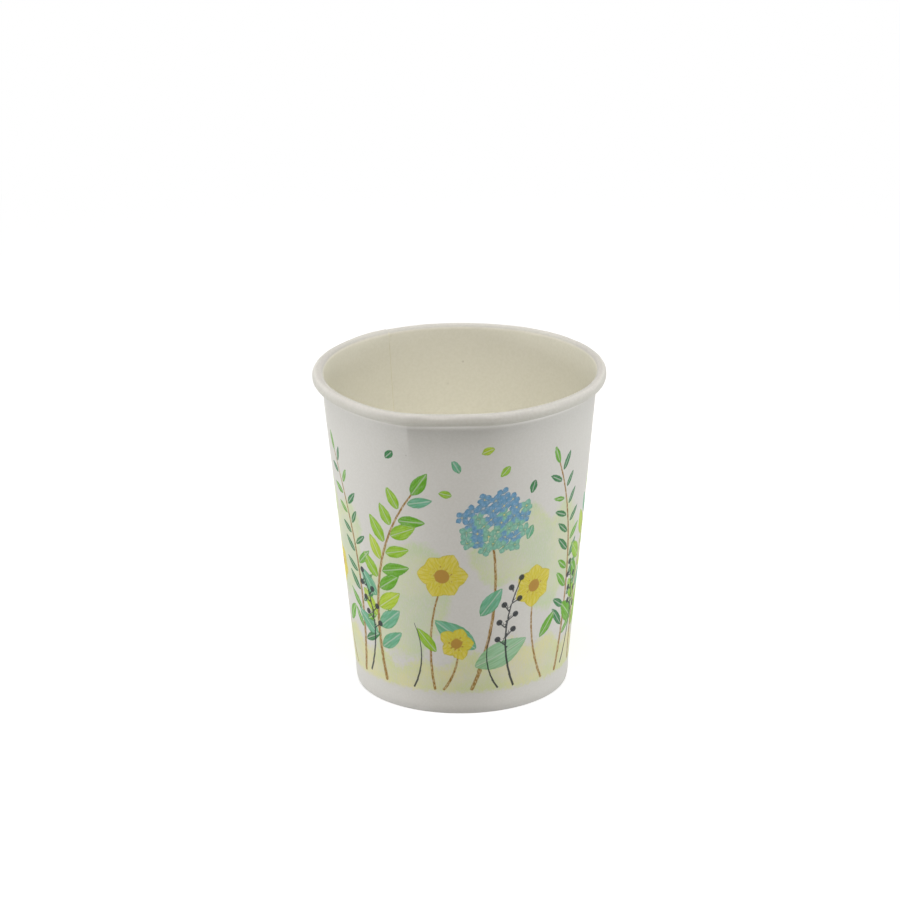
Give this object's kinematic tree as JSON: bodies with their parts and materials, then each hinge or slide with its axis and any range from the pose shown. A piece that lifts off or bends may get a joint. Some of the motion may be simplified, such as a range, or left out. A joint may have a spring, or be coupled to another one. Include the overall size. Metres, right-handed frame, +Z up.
{
  "type": "paper cup",
  "caption": "Tall single-wall paper cup with a rolled rim, a glued side seam and a recessed bottom folded into its foot.",
  "frame": {"origin": "centre of the foot ring, on the surface that the cup stands on", "axes": "+Z up along the cup's axis, out of its mouth; -Y is the front, away from the side seam"},
  "size_m": [0.073, 0.073, 0.0822],
  "materials": {
    "side_board": "satin coated board",
    "bottom_board": "satin coated board"
  },
  "bodies": {
    "root": {"side_wall": "side_board", "bottom_disc": "bottom_board"}
  },
  "joints": []
}
